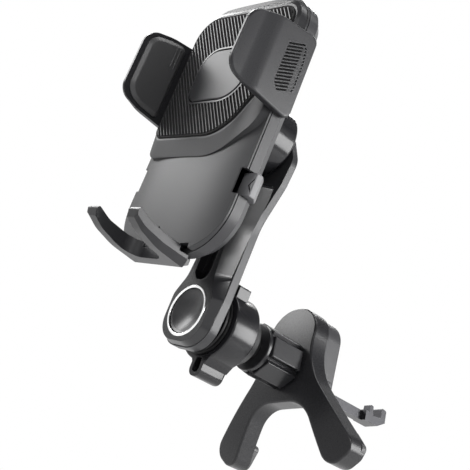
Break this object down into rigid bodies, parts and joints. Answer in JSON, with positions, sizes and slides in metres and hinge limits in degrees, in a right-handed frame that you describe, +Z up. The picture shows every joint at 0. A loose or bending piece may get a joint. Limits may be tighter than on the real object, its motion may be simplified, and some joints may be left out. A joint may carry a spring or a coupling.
{
  "type": "air vent phone holder",
  "caption": "Car phone holder with side clamp arms, ribbed back pad and sliding foot, on an upright arm with ball joints and a screw-tightened hook clip for an air vent.",
  "frame": {"origin": "on the clip's centre line, in the plane where the feet of the clip press on the air vent", "axes": "+Y into the vent along the hook, +Z up along the arm, +X to the holder's right seen from its front"},
  "size_m": [0.0811, 0.1732, 0.1732],
  "materials": {
    "black_abs": "satin",
    "gloss_abs": "gloss",
    "grey_abs": "satin",
    "black_rubber": "matt",
    "bright_trim": "polished",
    "nylon": "matt",
    "steel": "blackened"
  },
  "bodies": {
    "clip": {"clip_body": "gloss_abs", "clip_rear_block": "grey_abs", "left_vent_pad": "black_rubber", "right_vent_pad": "black_rubber", "clip_ball": "nylon"},
    "nut": {"ribbed_nut": "gloss_abs"},
    "drawbar": {"hook": "steel"},
    "clip_seat_ring": {"clip_ball_ring": "nylon"},
    "pivot": {"pivot_socket": "nylon", "clip_ball_cup": "nylon", "damping_disc": "black_rubber", "pivot_head": "black_abs"},
    "collar": {"tightening_collar": "gloss_abs"},
    "arm": {"arm_front_body": "gloss_abs", "arm_rear_plate": "grey_abs", "eye_trim_ring": "bright_trim", "cradle_ball_stud": "steel"},
    "cradle_seat_cup": {"cradle_ball_cup": "nylon"},
    "cradle_seat_ring": {"cradle_ball_ring": "nylon"},
    "cradle": {"rear_shell": "grey_abs", "front_cover": "black_abs", "phone_pad": "black_rubber", "pad_island": "black_abs"},
    "swivel": {"swivel_nut": "gloss_abs"},
    "right_arm": {"right_clamp_arm": "black_abs", "right_clamp_pad": "black_rubber", "right_rack": "nylon"},
    "left_arm": {"left_clamp_arm": "black_abs", "left_clamp_pad": "black_rubber", "left_rack": "nylon"},
    "pinion": {"clamp_pinion": "nylon"},
    "foot": {"foot_bracket": "black_abs"},
    "right_button": {"right_release_button": "gloss_abs"},
    "left_button": {"left_release_button": "gloss_abs"}
  },
  "joints": [
    {"name": "nut_turn", "type": "hinge", "parent": "clip", "child": "nut", "pos_m": [0, -0.027, 0], "axis": [0, 1, 0], "range_deg": [0, 1080]},
    {"name": "hook_pull", "type": "slide", "parent": "clip", "child": "drawbar", "axis": [0, 1, 0], "range_m": [-0.012, 0]},
    {"name": "clip_ball_tilt", "type": "hinge", "parent": "clip", "child": "clip_seat_ring", "pos_m": [0, -0.048, 0], "axis": [1, 0, 0], "range_deg": [-12, 12]},
    {"name": "clip_ball_lean", "type": "hinge", "parent": "clip_seat_ring", "child": "pivot", "pos_m": [0, -0.048, 0], "axis": [0, 0, 1], "range_deg": [-12, 12]},
    {"name": "arm_swing", "type": "hinge", "parent": "pivot", "child": "arm", "pos_m": [0, -0.07, 0], "axis": [0, 1, 0], "range_deg": [-90, 90]},
    {"name": "collar_turn", "type": "hinge", "parent": "pivot", "child": "collar", "pos_m": [0, -0.056, 0], "axis": [0, 1, 0], "range_deg": [-40, 40]},
    {"name": "cradle_spin", "type": "hinge", "parent": "arm", "child": "cradle_seat_cup", "pos_m": [0, -0.0765, 0.0781], "axis": [0, 1, 0], "continuous": true},
    {"name": "cradle_tilt", "type": "hinge", "parent": "cradle_seat_cup", "child": "cradle_seat_ring", "pos_m": [0, -0.0765, 0.0781], "axis": [1, 0, 0], "range_deg": [-9, 3]},
    {"name": "cradle_lean", "type": "hinge", "parent": "cradle_seat_ring", "child": "cradle", "pos_m": [0, -0.0765, 0.0781], "axis": [0, 0, 1], "range_deg": [-5, 5]},
    {"name": "swivel_nut_turn", "type": "hinge", "parent": "cradle", "child": "swivel", "pos_m": [0, -0.0775, 0.0781], "axis": [0, 1, 0], "range_deg": [0, 90]},
    {"name": "right_clamp_slide", "type": "slide", "parent": "cradle", "child": "right_arm", "axis": [1, 0, 0], "range_m": [0, 0.013]},
    {"name": "left_clamp_slide", "type": "slide", "parent": "cradle", "child": "left_arm", "axis": [-1, 0, 0], "range_m": [0, 0.013]},
    {"name": "pinion_turn", "type": "hinge", "parent": "cradle", "child": "pinion", "pos_m": [0, -0.0933, 0.0895], "axis": [0, 1, 0], "range_deg": [0, 156]},
    {"name": "foot_slide", "type": "slide", "parent": "cradle", "child": "foot", "axis": [0, 0, -1], "range_m": [0, 0.015]},
    {"name": "right_button_press", "type": "slide", "parent": "cradle", "child": "right_button", "axis": [-1, 0, 0], "range_m": [0, 0.002], "stiffness_N_per_m": 200, "springref_m": -0.001},
    {"name": "left_button_press", "type": "slide", "parent": "cradle", "child": "left_button", "axis": [1, 0, 0], "range_m": [0, 0.002], "stiffness_N_per_m": 200, "springref_m": -0.001}
  ],
  "couplings": [
    {"joint": "nut_turn", "follows": "hook_pull", "rad_per_m": -1570.8},
    {"joint": "left_clamp_slide", "follows": "right_clamp_slide", "ratio": 1},
    {"joint": "pinion_turn", "follows": "right_clamp_slide", "rad_per_m": 208.33}
  ]
}
